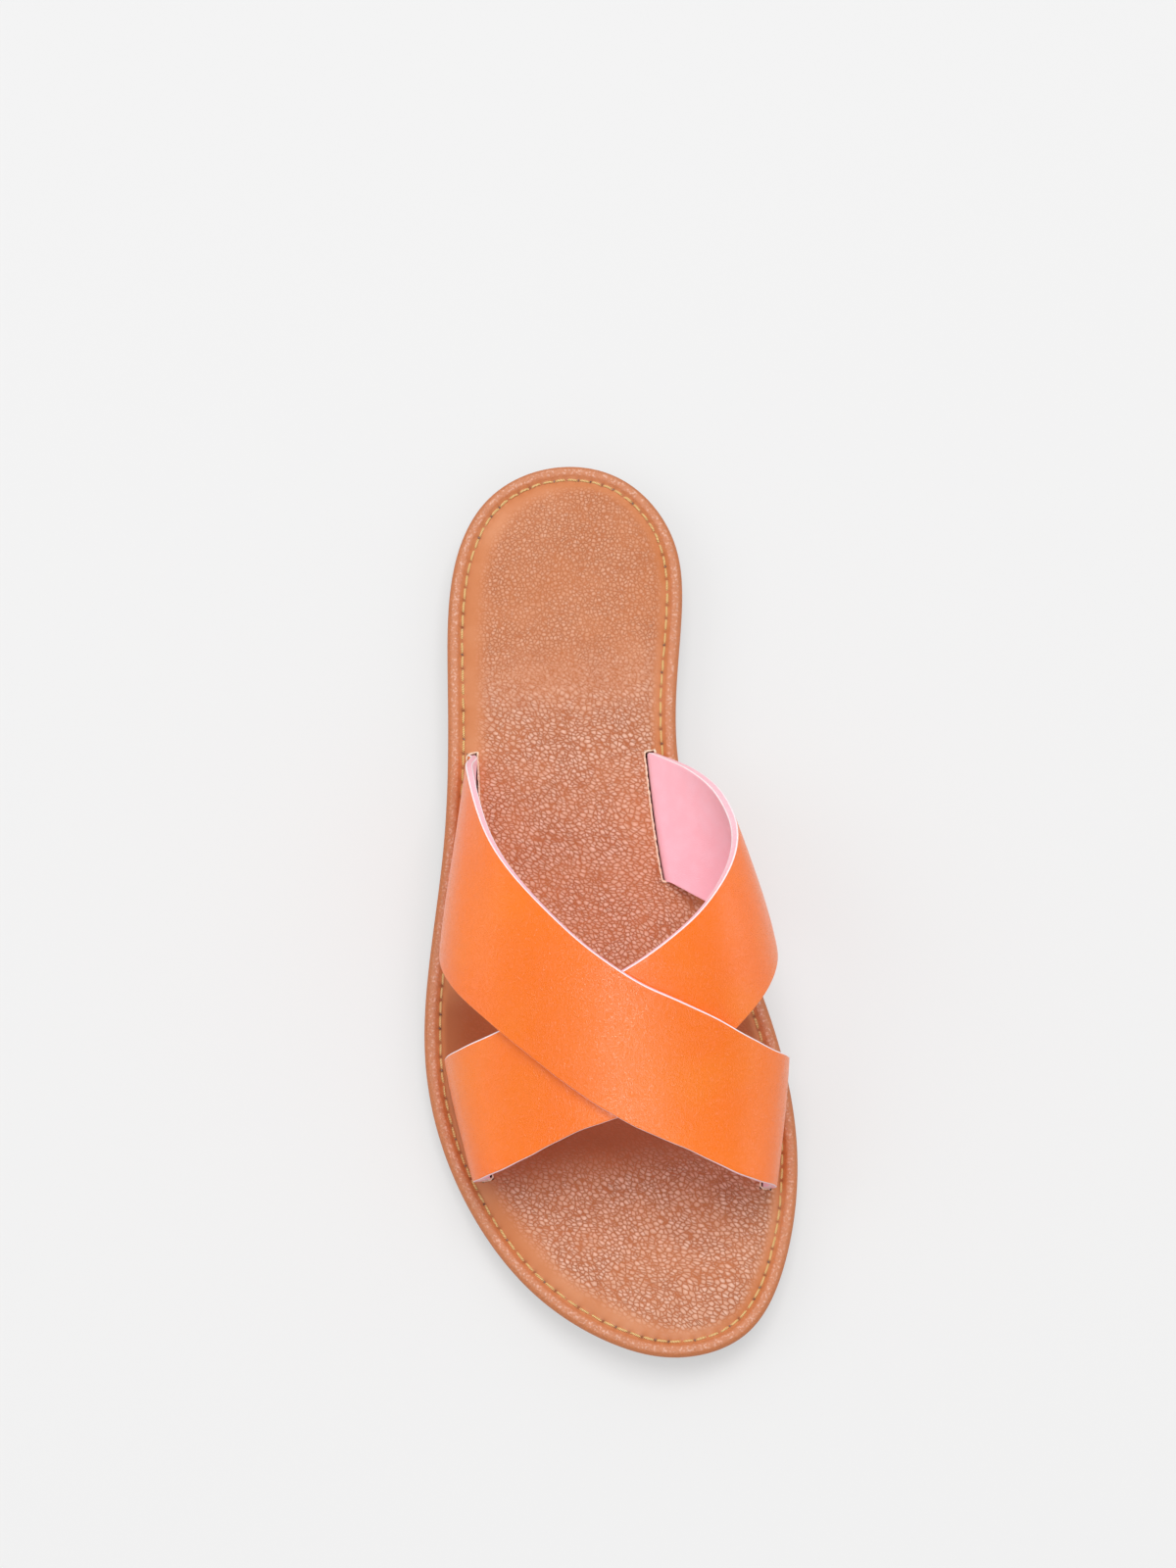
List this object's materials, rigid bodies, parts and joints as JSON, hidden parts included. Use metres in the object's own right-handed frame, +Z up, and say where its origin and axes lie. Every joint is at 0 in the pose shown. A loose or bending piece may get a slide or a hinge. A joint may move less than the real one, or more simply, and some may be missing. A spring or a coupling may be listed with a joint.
{
  "type": "cross strap sandal",
  "caption": "Right-foot flat slide sandal: wrapped leather footbed on a thin rubber sole with a low heel, crossed leather straps through slots.",
  "frame": {"origin": "on the floor, under the middle of the sole's outline", "axes": "+Y from toe to heel along the sole, +X towards the big-toe side, +Z up"},
  "size_m": [0.0968, 0.25, 0.0681],
  "materials": {
    "tan_leather": "pebble-grained wrapped leather, stitched along the rim",
    "orange_leather": "smooth fine-grained leather with a pink suede lining",
    "brown_rubber": "matte moulded rubber"
  },
  "bodies": {
    "root": {"footbed": "tan_leather", "cross_straps": "orange_leather", "outsole": "brown_rubber", "heel": "brown_rubber"}
  },
  "joints": []
}
